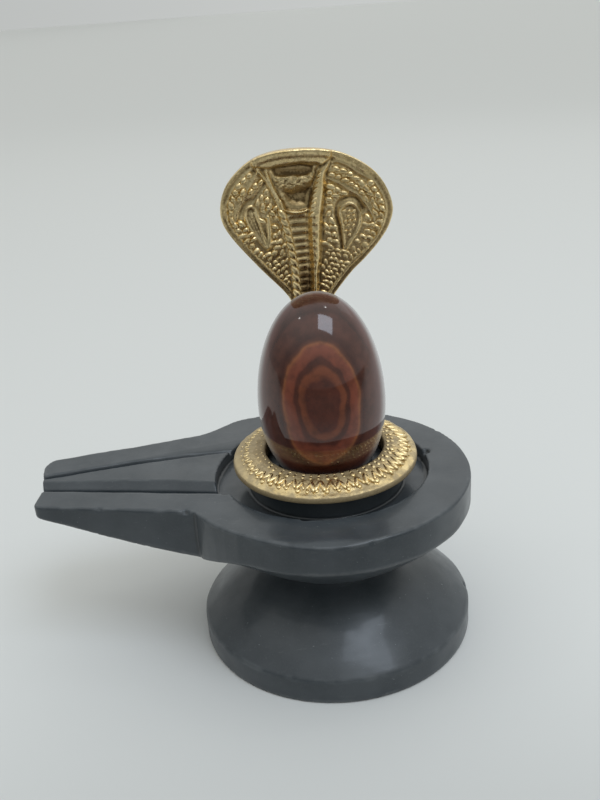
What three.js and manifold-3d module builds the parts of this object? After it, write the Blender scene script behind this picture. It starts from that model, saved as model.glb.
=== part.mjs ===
// A lingam stone: a polished egg of banded brown stone, standing in the seat of a carved
// black stone base (yoni) with a long spout, and ringed by a brass naga whose hood shades
// it. Millimetres, +Z up. The origin is under the middle of the foot; the spout points
// along -X and the hood stands on the +Y side of the egg, facing -Y.
import * as THREE from 'three';
import { mergeVertices } from 'three/addons/utils/BufferGeometryUtils.js';
import Module from 'manifold-3d';

const wasm = await Module();
wasm.setup();

// ---------------------------------------------------------------- driving dimensions
const GAP = 0.3; // clearance kept between pieces that only touch

const foot = { radius: 31, band: 5.9, flankTop: 18, neckRadius: 14 };
const plate = { radius: 31.3, top: 39.2, edge: 32.4, bowlRadius: 20.8, bowlBottom: 23.2 };
const recess = { x: -0.6, y: 1.6, radius: 23, lipRadius: 24.7, floor: 36.2 };
const seat = { x: -0.6, y: 0.3, radius: 17, top: 41.3 };
const keel = { // underside of the spout
  tipX: -64.2, tipZ: 37.2, slope: -0.272, sideSlope: 0.48,
  nearZ: 16.8, nearRun: -0.129, farZ: 17.4, farRun: 0.035,
};
const egg = { x: -0.6, y: 0, radius: 13.8, bottom: 35.6, equator: 55.7, top: 80.2 };
const ring = { x: -0.6, y: 0.3, z: 43.6, outer: 20.3, inner: 13, rise: 1.9, side: 2 };
const ringLift = 0.024; // the coil thickens towards the hood: rise of its top along Y
const ringScales = 60;
const hood = { x: -1.2, z: 75, halfStem: 3.2, halfRoot: 7.5, stemFoot: -32, plate: 1.7, spine: 2.4 };
const hoodLean = THREE.MathUtils.degToRad(2.9); // the hood leans towards the spout

// ---------------------------------------------------------------- mesh helpers
// Merges shared corners, drops collapsed triangles and turns the faces outwards.
function closed(geometry) {
  geometry.deleteAttribute('normal');
  geometry.deleteAttribute('uv');
  const merged = mergeVertices(geometry, 1e-4);
  const index = merged.index.array;
  const position = merged.attributes.position;
  const corner = [new THREE.Vector3(), new THREE.Vector3(), new THREE.Vector3()];
  const kept = [];
  let volume = 0;
  for (let i = 0; i < index.length; i += 3) {
    const [a, b, c] = index.slice(i, i + 3);
    if (a === b || b === c || c === a) continue;
    [a, b, c].forEach((vertex, k) => corner[k].fromBufferAttribute(position, vertex));
    volume += corner[0].dot(corner[1].clone().cross(corner[2]));
    kept.push(a, b, c);
  }
  if (volume < 0) kept.reverse();
  merged.setIndex(kept);
  return merged;
}

function toManifold(geometry) {
  const shell = closed(geometry);
  return new wasm.Manifold(new wasm.Mesh({
    numProp: 3,
    vertProperties: new Float32Array(shell.attributes.position.array),
    triVerts: new Uint32Array(shell.index.array),
  }));
}

function toGeometry(manifold) {
  const mesh = manifold.getMesh();
  const geometry = new THREE.BufferGeometry();
  geometry.setAttribute('position', new THREE.BufferAttribute(mesh.vertProperties, 3));
  geometry.setIndex(new THREE.BufferAttribute(mesh.triVerts, 1));
  return geometry;
}

// Turns a profile of [radius, height] pairs about a vertical axis through (x, y).
function turned(profile, segments, x = 0, y = 0) {
  const points = profile.map(([radius, height]) => new THREE.Vector2(radius, height));
  return new THREE.LatheGeometry(points, segments).rotateX(Math.PI / 2).translate(x, y, 0);
}

// A round plug between two heights, for cutting and adding.
function plug(radius, bottom, top, x, y) {
  return toManifold(turned([[0, bottom], [radius, bottom], [radius, top], [0, top]], 64, x, y));
}

// An upright wall of the given plan outline between two heights.
function prism(shape, bottom, top, bevel = 0) {
  const options = {
    depth: top - bottom - 2 * bevel,
    bevelEnabled: bevel > 0,
    bevelSize: bevel,
    bevelThickness: bevel,
    bevelOffset: -bevel,
    bevelSegments: 1,
    curveSegments: 10,
  };
  return toManifold(new THREE.ExtrudeGeometry(shape, options).translate(0, 0, bottom + bevel));
}

// A solid between two outlines of (y, z) points that stand at two places along X.
function loft(startX, start, endX, end) {
  const count = start.length;
  const positions = [
    ...start.flatMap(([y, z]) => [startX, y, z]),
    ...end.flatMap(([y, z]) => [endX, y, z]),
  ];
  const index = [];
  for (let i = 0; i < count; i += 1) {
    const j = (i + 1) % count;
    index.push(i, j, j + count, i, j + count, i + count);
  }
  const outline = start.map(([y, z]) => new THREE.Vector2(y, z));
  for (const [a, b, c] of THREE.ShapeUtils.triangulateShape(outline, [])) {
    index.push(c, b, a, a + count, b + count, c + count);
  }
  const geometry = new THREE.BufferGeometry();
  geometry.setAttribute('position', new THREE.Float32BufferAttribute(positions, 3));
  geometry.setIndex(index);
  return toManifold(geometry);
}

const smooth = (low, high, value) => THREE.MathUtils.smoothstep(value, low, high);
const bump = (value, width) => Math.exp(-((value / width) ** 2));

// ---------------------------------------------------------------- black stone base
function footAndBowl() {
  const profile = [
    [0, 0], [foot.radius - 0.5, 0], [foot.radius, 0.5], [foot.radius, foot.band],
    [23.8, 12.2], [foot.neckRadius + 1.6, foot.flankTop], [foot.neckRadius, foot.flankTop + 1.8],
    [foot.neckRadius, plate.bowlBottom - 0.7], [plate.bowlRadius - 0.6, plate.bowlBottom - 0.5],
    [plate.bowlRadius, plate.bowlBottom], [plate.radius - 0.6, plate.edge],
    [plate.radius, plate.edge + 0.7], [plate.radius, plate.top - 0.5],
    [plate.radius - 0.5, plate.top], [0, plate.top],
  ];
  return toManifold(turned(profile, 64));
}

// Plan of the spout: wide at its root, narrowing to a blunt tip with rounded corners. On
// the near side it starts at a corner of the plate, on the far side from a hollow curve.
function spoutPlan() {
  const outline = new THREE.Shape();
  const nearEnd = Math.PI * 1.145; // where the spout's near side leaves the plate
  outline.moveTo(0, 0);
  outline.lineTo(0, plate.radius);
  outline.bezierCurveTo(-5, 31.9, -11, 32.4, -15.6, 31.7);
  outline.bezierCurveTo(-24.5, 30.2, -24.5, 24.4, -32, 23.3);
  outline.lineTo(-64.2, 17.3);
  outline.quadraticCurveTo(-65.9, 16.8, -65.6, 14.6);
  outline.lineTo(-64.2, 2);
  outline.lineTo(-64.4, -2.6);
  outline.quadraticCurveTo(-64.3, -4.9, -62, -5.4);
  outline.lineTo(-29.5, -13.5);
  outline.absarc(0, 0, plate.radius, nearEnd, Math.PI * 1.42, false);
  outline.closePath();
  return outline;
}

// The underside is a straight keel that deepens towards the bowl, with a flat on either
// side of it that climbs to the plate's lower edge.
function spoutBody() {
  const { tipX, tipZ, slope, sideSlope } = keel;
  const reach = 60;
  const section = (x) => {
    const bottom = tipZ + slope * (x - tipX);
    const near = keel.nearZ + keel.nearRun * x;
    const far = keel.farZ + keel.farRun * x;
    return [
      [-reach, near + sideSlope * reach], [(near - bottom) / sideSlope, bottom],
      [(bottom - far) / sideSlope, bottom], [reach, far + sideSlope * reach],
      [reach, 90], [-reach, 90],
    ];
  };
  const room = loft(-80, section(-80), 5, section(5));
  return prism(spoutPlan(), 15, plate.top, 0.5).intersect(room);
}

// The channel's cross section at the root and at the tip: two grooves beside a raised panel.
function channel() {
  const sky = plate.top + 5;
  const root = [[-7.6, sky], [-7.2, 37], [-0.2, 38.9], [12.8, 38.9], [17.4, 37.1], [17.8, sky]];
  const tip = [[2.4, sky], [2.6, 38.2], [4.4, 38.9], [7.8, 38.9], [8.8, 38.3], [9, sky]];
  return loft(-67, tip, recess.x - recess.radius + 3, root);
}

function eggProfile(clearance) {
  const upper = egg.top - egg.equator;
  const lower = egg.equator - egg.bottom;
  const steps = 11;
  const profile = [];
  for (let i = -steps; i <= steps; i += 1) {
    const angle = (i / steps) * (Math.PI / 2);
    const blunt = i > 0 ? 0.975 : 1; // the top is a little blunter than an ellipse
    const radius = (egg.radius + clearance) * Math.max(0, Math.cos(angle)) ** blunt;
    const height = (i > 0 ? upper : lower) + clearance;
    profile.push([Math.abs(i) === steps ? 0 : radius, egg.equator + height * Math.sin(angle)]);
  }
  return profile;
}

// The front edge of the plate is worn to a shallow sloping flat.
function wornEdge() {
  const section = (x) => {
    const inner = -28.3 - 0.105 * (x + 13);
    return [[inner, plate.top], [inner, plate.top + 5], [inner - 8, plate.top + 5],
      [inner - 8, plate.top - 3]];
  };
  return loft(-20, section(-20), 12, section(12));
}

function yoniBase() {
  const channelReach = loft(
    -40, [[-7.2, 30], [17.2, 30], [17.2, 60], [-7.2, 60]],
    -15, [[-7.2, 30], [17.2, 30], [17.2, 60], [-7.2, 60]],
  );
  const lip = plug(recess.lipRadius, recess.floor, 60, recess.x, recess.y).intersect(channelReach);
  return footAndBowl()
    .add(spoutBody())
    .subtract(channel())
    .subtract(plug(recess.radius, recess.floor, 60, recess.x, recess.y))
    .subtract(lip)
    .subtract(wornEdge())
    .add(plug(seat.radius, recess.floor - 1, seat.top, seat.x, seat.y))
    .subtract(toManifold(turned(eggProfile(GAP), 32, egg.x, egg.y)));
}

// ---------------------------------------------------------------- brass naga
// The coiled body: a low dome in section, its top pressed with two rows of scales.
function nagaRing() {
  const { outer, inner, rise, side } = ring;
  const profile = [
    [inner + 0.2, -side], [outer - 0.4, -side], [outer, 0.7 - side], [outer - 0.3, 0],
    [outer - 2.2, 0.55 * rise], [inner + 2.4, rise], [inner + 0.3, rise - 0.1],
    [inner, rise / 2], [inner + 0.2, -side],
  ];
  const geometry = turned(profile, 2 * ringScales);
  const position = geometry.attributes.position;
  const point = new THREE.Vector3();
  for (let i = 0; i < position.count; i += 1) {
    point.fromBufferAttribute(position, i);
    const radius = Math.hypot(point.x, point.y);
    const turn = Math.round((Math.atan2(point.y, point.x) / Math.PI) * ringScales);
    const raised = (turn % 2 === 0) === (radius > 16.6) ? 0.22 : -0.22;
    const scale = point.z > 0.6 ? raised : 0;
    const lift = point.z > -0.1 ? ringLift * point.y : 0;
    position.setZ(i, point.z + scale + lift);
  }
  geometry.translate(ring.x, ring.y, ring.z);
  return toManifold(geometry);
}

// The hood is worked out in its own frame: u to the right, v up, w towards the front.
// Its middle surface bends forward as it rises and is hollow from side to side.
const hoodMiddle = (u, v) => -17.2 + 0.0045 * Math.max(0, v + 13) ** 2 + 0.008 * u * u;

// How far the front stands out of the middle surface.
function hoodRelief(u, v) {
  const plain = hood.plate / 2;
  const left = -3 - 0.11 * (v - 20) * smooth(16, 24, v); // inner edges of the two ridges
  const right = 4.1 - 0.05 * (20 - v);
  const onHood = smooth(-3, 4, v);
  const ropes = 1.1 * bump(u - left + 0.5, 0.9) + 1.3 * bump(u - right - 0.7, 1.2);
  const inside = smooth(left, left + 0.8, u) * (1 - smooth(right - 0.8, right, u));
  const scute = 0.5 + 0.5 * Math.cos((2 * Math.PI * (v - 0.04 * u * u - 20.2)) / 2.3);
  const belly = inside * (v < 20.6 ? 0.9 * scute * scute : 0);
  const brow = 2.4 * bump(v - 32, 1.9) * bump(u - 0.8, 8.5);
  const tongue = 1.1 * bump(v - 26.6, 1.6) * inside;
  const jaw = 1.6 * bump(v - 20.1, 0.8) * inside;
  const throat = -0.7 * bump(v - 23, 1.7) * inside;
  const drop = (du, dv) => 0.8 * bump(Math.hypot(du / 2.2, dv / 4.4) - 1, 0.3);
  const drops = drop(u - 11, v - 17.4) + drop(u + 9, v - 18);
  return plain + onHood * (ropes + belly + brow + tongue + jaw + throat + drops) + 0.8 * (1 - onHood);
}

const hoodBack = (u, v) => hood.plate / 2 + hood.spine * bump(u - 0.3, 3.4) * (1 - smooth(24, 33, v));

// A block on a grid of (u, v), between two surfaces given as heights along w.
function block(columns, rows, back, front) {
  const [left, right, bottom, top] = [-18, 21.5, hood.stemFoot, 35];
  const positions = [];
  for (const surface of [back, front]) {
    for (let j = 0; j <= rows; j += 1) {
      for (let i = 0; i <= columns; i += 1) {
        const u = left + ((right - left) * i) / columns;
        const v = bottom + ((top - bottom) * j) / rows;
        positions.push(u, v, surface(u, v));
      }
    }
  }
  const index = [];
  const layer = (columns + 1) * (rows + 1);
  const at = (i, j, k) => k * layer + j * (columns + 1) + i;
  const quad = (a, b, c, d) => index.push(a, b, c, a, c, d);
  for (let j = 0; j < rows; j += 1) {
    for (let i = 0; i < columns; i += 1) {
      quad(at(i, j, 0), at(i, j + 1, 0), at(i + 1, j + 1, 0), at(i + 1, j, 0));
      quad(at(i, j, 1), at(i + 1, j, 1), at(i + 1, j + 1, 1), at(i, j + 1, 1));
    }
  }
  for (let i = 0; i < columns; i += 1) {
    quad(at(i, 0, 0), at(i + 1, 0, 0), at(i + 1, 0, 1), at(i, 0, 1));
    quad(at(i + 1, rows, 0), at(i, rows, 0), at(i, rows, 1), at(i + 1, rows, 1));
  }
  for (let j = 0; j < rows; j += 1) {
    quad(at(0, j + 1, 0), at(0, j, 0), at(0, j, 1), at(0, j + 1, 1));
    quad(at(columns, j, 0), at(columns, j + 1, 0), at(columns, j + 1, 1), at(columns, j, 1));
  }
  const geometry = new THREE.BufferGeometry();
  geometry.setAttribute('position', new THREE.Float32BufferAttribute(positions, 3));
  geometry.setIndex(index);
  return toManifold(geometry);
}

// Outline of the hood and of the stem that carries it.
function hoodOutline() {
  const edge = [
    [4.3, -3], [9.9, 4], [13.4, 7.4], [16.8, 11.3], [19.1, 15.4], [19.6, 19.6], [17.5, 25.1],
    [13.5, 29.2], [7.6, 32.2], [0, 33.4], [-6.5, 32.9], [-11, 30.7], [-14.7, 26.9],
    [-16.3, 21.6], [-14.9, 16.4], [-9.7, 8], [-4.2, 0.2], [-hood.halfStem, -5],
  ];
  const outline = new THREE.Shape();
  outline.moveTo(-hood.halfRoot, -60);
  outline.lineTo(hood.halfRoot, -60);
  outline.lineTo(hood.halfRoot, hood.stemFoot);
  outline.quadraticCurveTo(hood.halfStem + 0.4, -24, hood.halfStem, -7);
  outline.splineThru(edge.map(([u, v]) => new THREE.Vector2(u, v)));
  outline.quadraticCurveTo(-hood.halfStem - 0.4, -24, -hood.halfRoot, hood.stemFoot);
  outline.closePath();
  return new THREE.Shape(outline.getPoints(3));
}

function nagaHood() {
  const front = block(38, 62, () => -60, (u, v) => hoodMiddle(u, v) + hoodRelief(u, v));
  const back = block(14, 22, (u, v) => hoodMiddle(u, v) - hoodBack(u, v), () => 40);
  const frame = new THREE.Matrix4().makeBasis(
    new THREE.Vector3(Math.cos(hoodLean), 0, Math.sin(hoodLean)),
    new THREE.Vector3(-Math.sin(hoodLean), 0, Math.cos(hoodLean)),
    new THREE.Vector3(0, -1, 0),
  ).setPosition(hood.x, 0, hood.z);
  const cut = front.intersect(back).intersect(prism(hoodOutline(), -50, 30));
  return cut.transform(frame.elements);
}

// ---------------------------------------------------------------- scene graph
function piece(name, geometry, color, roughness, metalness) {
  const mesh = new THREE.Mesh(
    geometry,
    new THREE.MeshStandardMaterial({ color, roughness, metalness }),
  );
  mesh.name = name;
  return mesh;
}

const group = new THREE.Group();
group.add(
  piece('lingam_stone', closed(turned(eggProfile(0), 36, egg.x, egg.y)), 0x5a2a20, 0.12, 0),
  piece('yoni_base', toGeometry(yoniBase()), 0x3b4144, 0.45, 0),
  piece('naga', toGeometry(nagaRing().add(nagaHood())), 0xa88a4a, 0.35, 1),
);

export default group;
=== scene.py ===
# %% [markdown]
# # A lingam stone in its carved base, ringed by a brass naga
# Three real pieces make up this object: a polished egg of banded brown stone, a base that
# is carved from one block of black stone, and a brass cobra whose coil lies round the egg
# and whose hood rises behind it. The imported CAD model comes first, because every piece
# made here has to sit where the CAD says.

# %% Load the imported model
import math

import bpy
import numpy as np
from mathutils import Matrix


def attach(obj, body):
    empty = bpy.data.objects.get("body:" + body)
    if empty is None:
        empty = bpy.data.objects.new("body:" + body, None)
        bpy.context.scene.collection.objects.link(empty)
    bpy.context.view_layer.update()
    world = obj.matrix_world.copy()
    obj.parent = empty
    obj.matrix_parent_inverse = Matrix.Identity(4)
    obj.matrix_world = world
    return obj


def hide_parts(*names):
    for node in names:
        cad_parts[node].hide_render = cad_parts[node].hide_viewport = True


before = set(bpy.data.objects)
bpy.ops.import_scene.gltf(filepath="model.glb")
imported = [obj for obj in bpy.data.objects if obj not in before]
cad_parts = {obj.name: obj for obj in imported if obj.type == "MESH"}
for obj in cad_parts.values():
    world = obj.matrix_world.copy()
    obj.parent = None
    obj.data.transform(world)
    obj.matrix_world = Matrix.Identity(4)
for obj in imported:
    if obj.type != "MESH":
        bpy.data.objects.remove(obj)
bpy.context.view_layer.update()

print("CAD nodes:", sorted(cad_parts))

# %% [markdown]
# ## The camera and the frame it fills
# The picture is 600 pixels wide and 800 high. A lens is easiest to state as the distance,
# in pixels, at which the picture would be drawn, and Blender's focal length follows from
# it through the sensor, whose width counts for the long side. The three directions of the
# camera, to its right, up and back, are the columns of its matrix.

# %% Set up the camera
from mathutils import Matrix, Vector

MM = 0.001
SENSOR_WIDTH = 36
LENS_IN_PIXELS = 900
LONG_SIDE_IN_PIXELS = 800
CAMERA_PLACE = Vector((-13.0, -177.9, 134.1)) * MM
CAMERA_RIGHT = Vector((0.9952, -0.0723, -0.0666))
CAMERA_UP = Vector((0.0899, 0.3946, 0.9145))
CAMERA_BACK = Vector((-0.0399, -0.9160, 0.3992))


def new_object(name, data):
    """Puts new data into the scene as an object of its own."""
    made = bpy.data.objects.new(name, data)
    bpy.context.scene.collection.objects.link(made)
    return made


camera_data = bpy.data.cameras.new("Camera")
camera_data.sensor_width = SENSOR_WIDTH
camera_data.lens = SENSOR_WIDTH * LENS_IN_PIXELS / LONG_SIDE_IN_PIXELS
camera_data.clip_start = 5 * MM
camera = new_object("Camera", camera_data)
camera_turn = Matrix((CAMERA_RIGHT, CAMERA_UP, CAMERA_BACK)).transposed()
camera.matrix_world = Matrix.LocRotScale(CAMERA_PLACE, camera_turn.to_quaternion(), None)
bpy.context.scene.camera = camera
bpy.context.scene.view_settings.view_transform = "Standard"
print("camera lens:", round(camera_data.lens, 1), "mm")

# %% [markdown]
# ## Helpers for meshes
# All sizes below are in millimetres, as on a workshop drawing, and become metres only
# where a mesh is made. Each piece here is worked out as an array of points and a list of
# faces, so one helper turns those into an object, and can put marks on the points for a
# finish to read. Another lists the faces of a turned shape, which has a point at each pole.

# %% Helpers for meshes
def add_piece(name, points, faces, material, marks=None):
    """Makes a smooth mesh object from points in millimetres, with optional marks per point."""
    mesh = bpy.data.meshes.new(name)
    faces = faces.tolist() if isinstance(faces, np.ndarray) else faces
    mesh.from_pydata((np.asarray(points) * MM).tolist(), [], faces)
    for mark, values in (marks or {}).items():
        attribute = mesh.attributes.new(mark, "FLOAT", "POINT")
        attribute.data.foreach_set("value", np.asarray(values, np.float32))
    mesh.polygons.foreach_set("use_smooth", [True] * len(mesh.polygons))
    mesh.materials.append(material)
    print(f"{name}: {len(mesh.polygons)} faces")
    return new_object(name, mesh)


def turned_grid(rows, columns):
    """Faces of a closed shell of rows turned about an axis, with a point at each pole."""
    faces = []
    last = 1 + rows * columns
    for i in range(columns):
        j = (i + 1) % columns
        faces.append((0, 1 + j, 1 + i))
        for row in range(rows - 1):
            low = 1 + row * columns
            faces.append((low + i, low + j, low + columns + j, low + columns + i))
        top = 1 + (rows - 1) * columns
        faces.append((top + i, top + j, last))
    return faces


print("one millimetre is", MM, "metres")

# %% [markdown]
# ## Helpers for finishes
# Every finish here is painted by rules: noise at the size of the thing it stands for, a
# smooth step that picks a part of it, and a mix of two colours. Wiring such nodes by hand
# is long, so a small class keeps one tree of nodes and adds a node per call. A second
# class does the same for a material, which reads Object coordinates scaled to millimetres:
# each pattern keeps its real size and stays with the piece when it is moved.

# %% Helpers for shader nodes
class Nodes:
    """A tree of shader nodes under construction."""

    def __init__(self, tree):
        self.tree = tree

    def add(self, kind, **settings):
        node = self.tree.nodes.new(kind)
        for name, value in settings.items():
            setattr(node, name, value)
        return node

    def feed(self, socket, value):
        if isinstance(value, bpy.types.NodeSocket):
            self.tree.links.new(value, socket)
        else:
            socket.default_value = value

    def maths(self, operation, *values, vector=False, **named):
        kind = "ShaderNodeVectorMath" if vector else "ShaderNodeMath"
        node = self.add(kind, operation=operation)
        for socket, value in zip(node.inputs, values):
            self.feed(socket, value)
        for name, value in named.items():
            self.feed(node.inputs[name], value)
        return node.outputs["Value" if operation == "DOT_PRODUCT" else 0]

    def dot(self, place, direction):
        """How far a place lies along a direction."""
        return self.maths("DOT_PRODUCT", place, direction, vector=True)

    def between(self, value, low, high, start=0.0, end=1.0):
        """Goes smoothly from start to end while the value goes from low to high."""
        node = self.add("ShaderNodeMapRange", interpolation_type="SMOOTHSTEP")
        for name, given in (("Value", value), ("From Min", low), ("From Max", high),
                            ("To Min", start), ("To Max", end)):
            self.feed(node.inputs[name], given)
        return node.outputs["Result"]

    def mix(self, share, first, second):
        node = self.add("ShaderNodeMix", data_type="RGBA")
        self.feed(node.inputs["Factor"], share)
        for socket, colour in ((node.inputs[6], first), (node.inputs[7], second)):
            self.feed(socket, (*colour, 1) if isinstance(colour, tuple) else colour)
        return node.outputs[2]

    def over(self, colour, value, low, high, most, layer):
        """Lays a second colour over the first, up to a share, as the value rises."""
        return self.mix(self.between(value, low, high, 0.0, most), colour, layer)

    def bands(self, value, stops):
        """A colour for each depth: stops are (place from 0 to 1, colour)."""
        ramp = self.add("ShaderNodeValToRGB")
        elements = ramp.color_ramp.elements
        while len(elements) < len(stops):
            elements.new(0.5)
        for element, (place, colour) in zip(elements, stops):
            element.position = place
            element.color = (*colour, 1)
        self.feed(ramp.inputs["Fac"], value)
        return ramp.outputs["Color"]


class Shader(Nodes):
    """A material under construction: its tree, its Principled shader and its coordinates."""

    def __init__(self, name):
        self.material = bpy.data.materials.new(name)
        self.material.use_nodes = True
        super().__init__(self.material.node_tree)
        self.principled = self.tree.nodes["Principled BSDF"]
        place = self.add("ShaderNodeTexCoord").outputs["Object"]
        self.millimetres = self.maths("SCALE", place, Scale=1 / MM, vector=True)

    def noise(self, size, detail=2.0, rough=0.5, place=None, output="Fac"):
        """Noise whose features are about the given size in millimetres."""
        node = self.add("ShaderNodeTexNoise")
        self.feed(node.inputs["Vector"], place or self.millimetres)
        self.feed(node.inputs["Scale"], 1 / size)
        self.feed(node.inputs["Detail"], detail)
        self.feed(node.inputs["Roughness"], rough)
        return node.outputs[output]

    def bump(self, height, strength, distance):
        node = self.add("ShaderNodeBump")
        self.feed(node.inputs["Height"], height)
        self.feed(node.inputs["Strength"], strength)
        self.feed(node.inputs["Distance"], distance * MM)
        self.feed(self.principled.inputs["Normal"], node.outputs["Normal"])

    def mark(self, name):
        """A number that the points of the piece carry."""
        return self.add("ShaderNodeAttribute", attribute_name=name).outputs["Fac"]

    def finish(self, colour, roughness, metal=0.0, ior=1.5):
        for name, value in (("Base Color", colour), ("Roughness", roughness),
                            ("Metallic", metal), ("IOR", ior)):
            self.feed(self.principled.inputs[name], value)
        print("material:", self.material.name, len(self.tree.nodes), "nodes")
        return self.material


print("a finish is wired one call per node")

# %% [markdown]
# ## The banded stone's finish
# Such a stone is laid down in thin layers, and where the egg's skin just touches a layer
# the layers open into an eye of rings. So the finish is built the same way: flat layers,
# a little bent by noise, are cut by the egg, and a colour ramp says what each layer looks
# like at its depth behind the front of the eye. The rings' long shape comes by itself,
# because the egg is taller than it is wide. Where the skin turns away from whoever looks at
# it, two last steps lift the colour: a painted sheen that stands for the room mirrored there.

# %% The banded stone's finish
EYE_DIRECTION = (-0.065, -0.989, 0.132)
EYE_FRONT = (-1.5, -13.45, 61.0)  # where the first layer touches the skin
BEND_ABOVE = 0.0045  # how fast the layers bend back above the eye, per millimetre
DEEPEST_BAND = 14.0
LAYERS = [  # depth behind the front of the eye in millimetres, and colour
    (0.0, (0.089, 0.023, 0.013)), (0.30, (0.086, 0.021, 0.012)),
    (0.50, (0.167, 0.045, 0.019)), (0.78, (0.182, 0.050, 0.021)),
    (0.98, (0.080, 0.021, 0.011)), (1.25, (0.084, 0.021, 0.012)),
    (1.45, (0.182, 0.045, 0.023)), (2.20, (0.208, 0.055, 0.029)),
    (2.55, (0.262, 0.087, 0.033)), (2.80, (0.094, 0.028, 0.014)),
    (3.2, (0.056, 0.015, 0.009)), (4.3, (0.089, 0.030, 0.019)),
    (6.2, (0.078, 0.025, 0.016)), (6.8, (0.048, 0.015, 0.009)),
    (8.5, (0.078, 0.026, 0.017)), (11.5, (0.048, 0.015, 0.009)),
]
# The last two tones are a painted sheen, paler where the skin turns away from the eye.
STONE_TONES = {
    "dark cloud": (0.018, 0.005, 0.003), "fleck": (0.20, 0.075, 0.03),
    "painted sheen where turned": (0.15, 0.062, 0.052), "painted pale sheen at rim": (0.50, 0.48, 0.47),
}
SWIRL_SIZE = 1 / 0.13  # of the bends in the layers
SWIRL_SWAY = (1.6, 1.6, 2.2)  # how far the layers wander along X, Y and Z
POLISH = (0.045, 0.09)  # roughness where it is best and worst
DULL_TIP = (78.3, 79.8)  # heights between which the polish fades


def layer_depth(stone):
    """The depth of each place behind the front of the eye, through gently swirled layers."""
    swirl = stone.noise(SWIRL_SIZE, detail=4.0, rough=0.42, output="Color")
    shift = stone.maths("SUBTRACT", swirl, (0.5, 0.5, 0.5), vector=True)
    shift = stone.maths("MULTIPLY", shift, SWIRL_SWAY, vector=True)
    place = stone.maths("ADD", stone.millimetres, shift, vector=True)
    from_eye = stone.maths("SUBTRACT", place, EYE_FRONT, vector=True)
    above = stone.maths("MAXIMUM", stone.dot(from_eye, (0, 0, 1)), 0.0)
    bend = stone.maths("MULTIPLY", stone.maths("MULTIPLY", above, above), BEND_ABOVE)
    return stone.maths("SUBTRACT", bend, stone.dot(from_eye, EYE_DIRECTION))


def banded_stone():
    stone = Shader("Banded stone")
    share = stone.maths("DIVIDE", layer_depth(stone), DEEPEST_BAND)
    share = stone.maths("POWER", stone.maths("MAXIMUM", share, 0.0), 0.5)
    colour = stone.bands(share, [(math.sqrt(depth / DEEPEST_BAND), layer)
                                 for depth, layer in LAYERS])
    cloud = stone.noise(2.2, detail=4.0)
    fleck = stone.noise(0.35, detail=2.0)
    colour = stone.over(colour, cloud, 0.35, 0.75, 0.45, STONE_TONES["dark cloud"])
    colour = stone.over(colour, fleck, 0.62, 0.8, 0.25, STONE_TONES["fleck"])
    # Painted sheen: the colour is lifted where the skin turns away from whoever looks at it.
    turned_away = stone.add("ShaderNodeLayerWeight").outputs["Facing"]
    colour = stone.over(colour, turned_away, 0.36, 0.66, 0.70, STONE_TONES["painted sheen where turned"])
    colour = stone.over(colour, turned_away, 0.58, 0.86, 0.75, STONE_TONES["painted pale sheen at rim"])
    roughness = stone.between(stone.noise(3.0, detail=3.0), 0.3, 0.7, *POLISH)
    tip = stone.between(stone.dot(stone.millimetres, (0, 0, 1)), *DULL_TIP, 0.0, 0.22)
    stone.bump(stone.noise(1.2, detail=3.0), 0.05, 0.05)
    return stone.finish(colour, stone.maths("ADD", roughness, tip), ior=1.6)


BANDED_STONE = banded_stone()

# %% [markdown]
# ## The egg
# The egg was ground on a wheel and polished, so it is as smooth as a turned shape. Its
# lower half is rounder and its upper half longer, and both are half ellipses that meet at
# the widest ring. A closed shell with a point at each pole does it, with enough columns
# that the edge against the light stays a clean curve.

# %% Turn the egg
EGG = {"x": -0.6, "y": 0.0, "radius": 13.8, "bottom": 35.6, "widest": 55.7, "top": 80.2}
UPPER_POWER = 0.975  # below 1 the upper half is a little fuller than an ellipse


def egg_half(is_upper):
    """Height of the upper half where the answer is yes, and of the lower half elsewhere."""
    return np.where(is_upper, EGG["top"] - EGG["widest"], EGG["widest"] - EGG["bottom"])


def egg_radius(height):
    """Radius of the egg at a height, both in millimetres."""
    is_upper = height > EGG["widest"]
    share = np.clip(np.abs(height - EGG["widest"]) / egg_half(is_upper), 0, 1)
    return EGG["radius"] * np.sqrt(1 - share ** 2) ** np.where(is_upper, UPPER_POWER, 1)


def turn_egg(rows=110, columns=192):
    along = np.linspace(-math.pi / 2, math.pi / 2, rows + 2)[1:-1]
    height = EGG["widest"] + egg_half(along > 0) * np.sin(along)
    radius = egg_radius(height)[:, None]
    around = np.linspace(0, 2 * math.pi, columns, endpoint=False)
    rings = np.stack([EGG["x"] + radius * np.cos(around), EGG["y"] + radius * np.sin(around),
                      height[:, None] + 0 * around], axis=2)
    poles = [[(EGG["x"], EGG["y"], EGG[end])] for end in ("bottom", "top")]
    points = np.vstack([poles[0], rings.reshape(-1, 3), poles[1]])
    return add_piece("Lingam_stone", points, turned_grid(rows, columns), BANDED_STONE)


egg_piece = turn_egg()
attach(egg_piece, "root")
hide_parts("lingam_stone")

# %% [markdown]
# ## Carving in numbers
# The base was sawn, turned and carved from one block, so it is described as a carver works:
# a turned foot and bowl, a spout joined to them, and then cuts into the top. Each form is a
# signed distance in millimetres, below zero inside the stone. Joining two forms takes the
# smaller distance and cutting takes the larger one, and a soft version of both leaves the
# small rounded edges and hollows that rubbing with grit leaves on real stone. A profile or
# a plan is a closed outline, so the distance to an outline carries most of the work.

# %% Forms as distances
def soft_join(first, second, ease):
    """Either form, with the corner between them filled over about the given width."""
    near = np.maximum(ease - np.abs(first - second), 0) / ease
    return np.minimum(first, second) - near * near * ease / 4


def soft_meet(first, second, ease):
    """Only where both forms are, with the edge between them rounded off."""
    return -soft_join(-first, -second, ease)


def rise(low, high, value):
    """Goes smoothly from 0 to 1 while the value goes from low to high."""
    share = np.clip((value - low) / (high - low), 0, 1)
    return share * share * (3 - 2 * share)


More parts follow.
